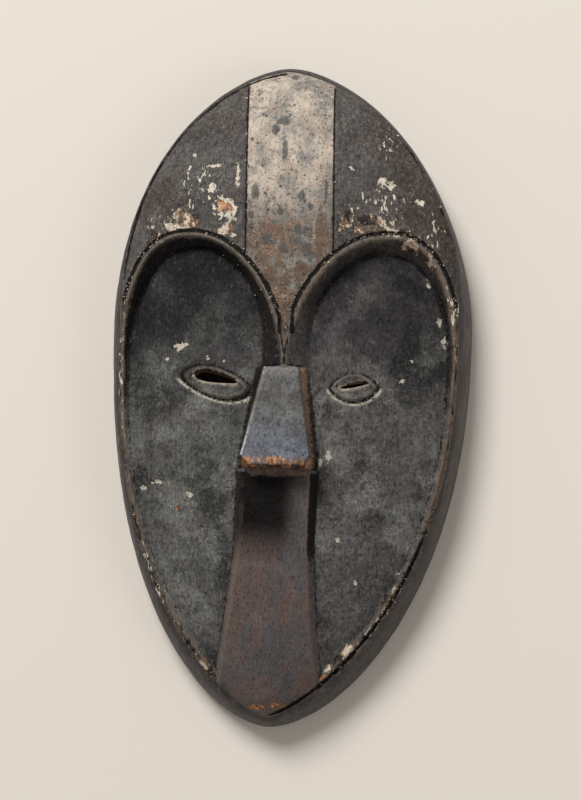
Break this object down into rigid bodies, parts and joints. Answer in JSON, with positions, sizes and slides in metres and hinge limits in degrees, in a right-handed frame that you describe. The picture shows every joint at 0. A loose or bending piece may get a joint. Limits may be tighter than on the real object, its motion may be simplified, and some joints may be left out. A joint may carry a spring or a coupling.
{
  "type": "carved wooden face mask",
  "caption": "Egg-shaped carved wooden face mask with domed forehead, two sunken brow lobes, wedge nose, ridge to the chin, slit eyes and a hollow back, lying on its rim.",
  "frame": {"origin": "centre of the mask's box on the plane that its back rim lies on", "axes": "+X to the viewer's right, +Y to the forehead, +Z out of the face, away from the surface it lies on"},
  "size_m": [0.1514, 0.2786, 0.0635],
  "materials": {
    "carved_wood": "old dark painted wood, dull satin, worn to bare wood at the edges, with a pale painted forehead band"
  },
  "bodies": {
    "root": {"mask": "carved_wood"}
  },
  "joints": []
}
